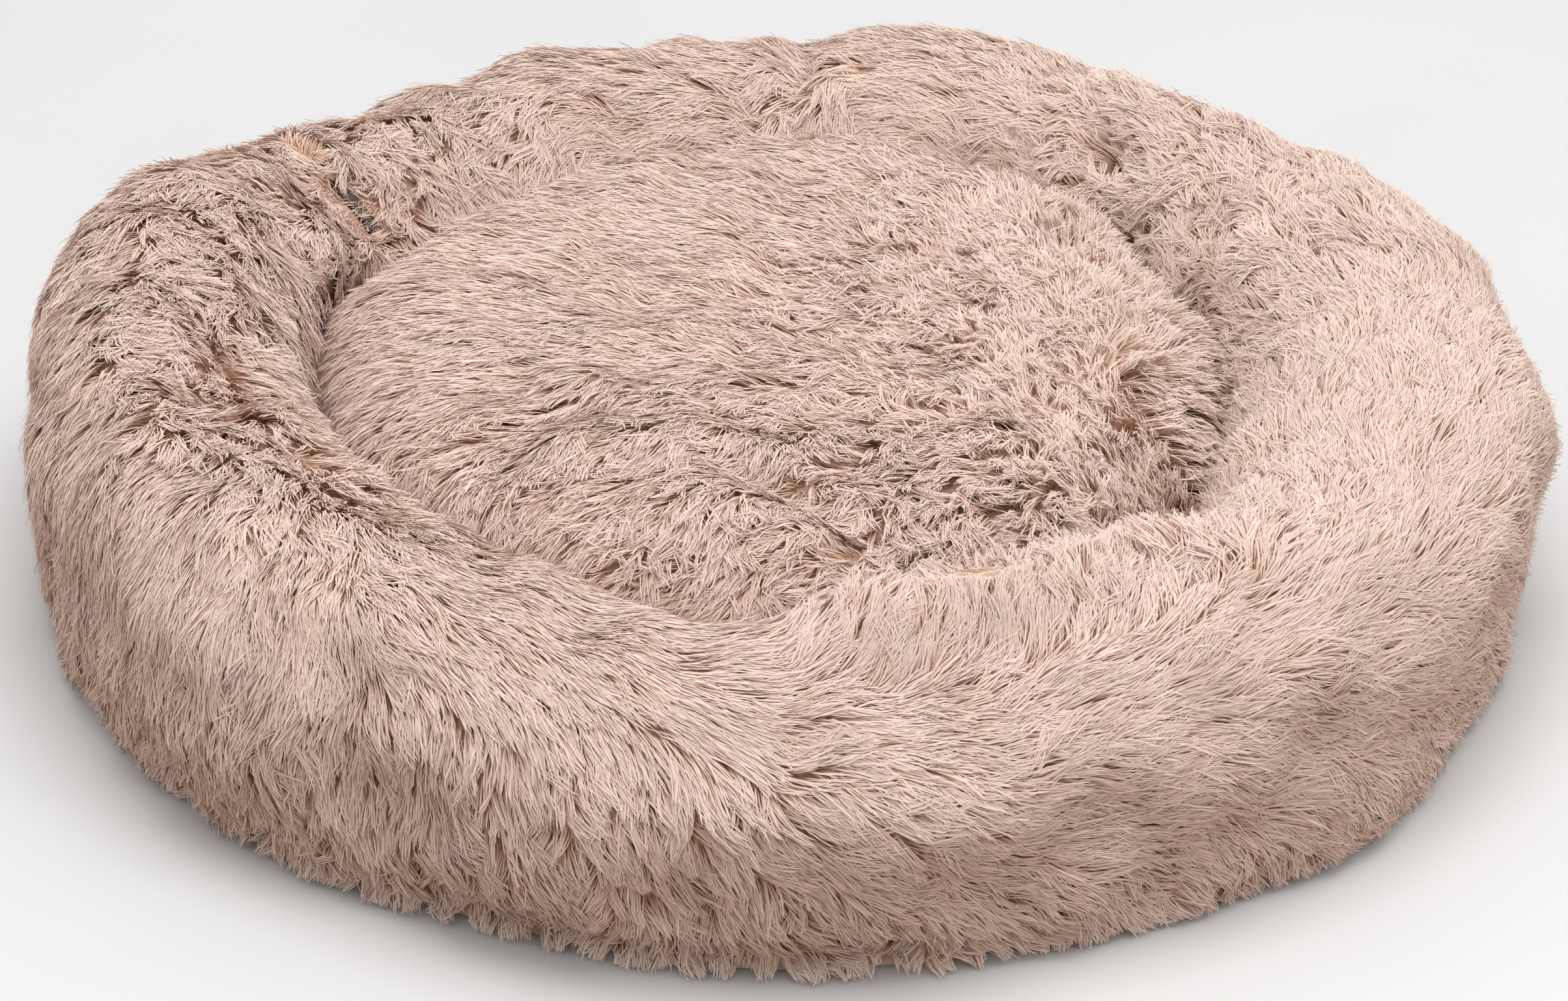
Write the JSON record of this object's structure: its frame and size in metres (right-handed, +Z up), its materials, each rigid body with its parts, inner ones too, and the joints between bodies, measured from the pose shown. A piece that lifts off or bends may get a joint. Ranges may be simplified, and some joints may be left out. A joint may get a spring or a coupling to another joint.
{
  "type": "round pet bed",
  "caption": "Round long-pile fur pet bed: a stuffed ring bolster sewn to a base, with zipped covers and a loose puffed cushion in the nest.",
  "frame": {"origin": "on the floor, at the middle of the ring, on the middle anti-slip dot", "axes": "+Z up, -Y towards the side that faces the viewer, +X to the viewer's right"},
  "size_m": [0.797, 0.8205, 0.1851],
  "materials": {
    "bolster_fur": "long-pile faux fur in combed locks, dusty beige with paler tips",
    "cushion_fur": "long-pile faux fur in combed locks, dusty beige, tousled at the back right",
    "lining": "matte plain-weave lining",
    "base_fabric": "matte woven base cloth",
    "filling": "matte fibre filling",
    "zip_tape": "matte woven tape",
    "zip_coil": "satin nylon coil",
    "zip_metal": "satin painted metal"
  },
  "bodies": {
    "bed": {"base_panel": "base_fabric", "base_binding": "base_fabric", "base_wadding": "filling", "nest_floor_panel": "lining", "bolster_cover_right": "bolster_fur", "bolster_cover_back_right": "bolster_fur", "bolster_cover_back_left": "bolster_fur", "bolster_cover_left": "bolster_fur", "bolster_cover_front": "bolster_fur", "bolster_back_tube_liner": "lining", "bolster_back_tube_fill": "filling", "bolster_front_tube_liner": "lining", "bolster_front_tube_fill": "filling", "right_zip_front_tape": "zip_tape", "right_zip_back_tape": "zip_tape", "right_zip_chain": "zip_coil", "right_zip_top_stop": "zip_metal", "right_zip_bottom_stop": "zip_metal", "left_zip_front_tape": "zip_tape", "left_zip_back_tape": "zip_tape", "left_zip_chain": "zip_coil", "left_zip_top_stop": "zip_metal", "left_zip_bottom_stop": "zip_metal"},
    "cushion": {"cushion_fur_top": "cushion_fur", "cushion_underside": "lining", "cushion_fill": "filling"},
    "right_slider": {"right_zip_slider": "zip_metal"},
    "right_tab": {"right_zip_pull_tab": "zip_metal"},
    "left_slider": {"left_zip_slider": "zip_metal"},
    "left_tab": {"left_zip_pull_tab": "zip_metal"}
  },
  "joints": [
    {"name": "cushion_lift", "type": "slide", "parent": "bed", "child": "cushion", "axis": [0, 0, 1], "range_m": [0, 0.19]},
    {"name": "right_zip_travel", "type": "hinge", "parent": "bed", "child": "right_slider", "pos_m": [0.2165, 0.24905, 0.09682], "axis": [0.7547, -0.6561, 0], "range_deg": [0, 99]},
    {"name": "right_tab_swing", "type": "hinge", "parent": "right_slider", "child": "right_tab", "pos_m": [0.21376, 0.2459, 0.14542], "axis": [-0.7547, 0.6561, 0], "range_deg": [0, 100]},
    {"name": "left_zip_travel", "type": "hinge", "parent": "bed", "child": "left_slider", "pos_m": [-0.26355, 0.1986, 0.09836], "axis": [0.6018, 0.7986, 0], "range_deg": [0, 98]},
    {"name": "left_tab_swing", "type": "hinge", "parent": "left_slider", "child": "left_tab", "pos_m": [-0.26006, 0.19597, 0.1454], "axis": [-0.6018, -0.7986, 0], "range_deg": [0, 100]}
  ]
}
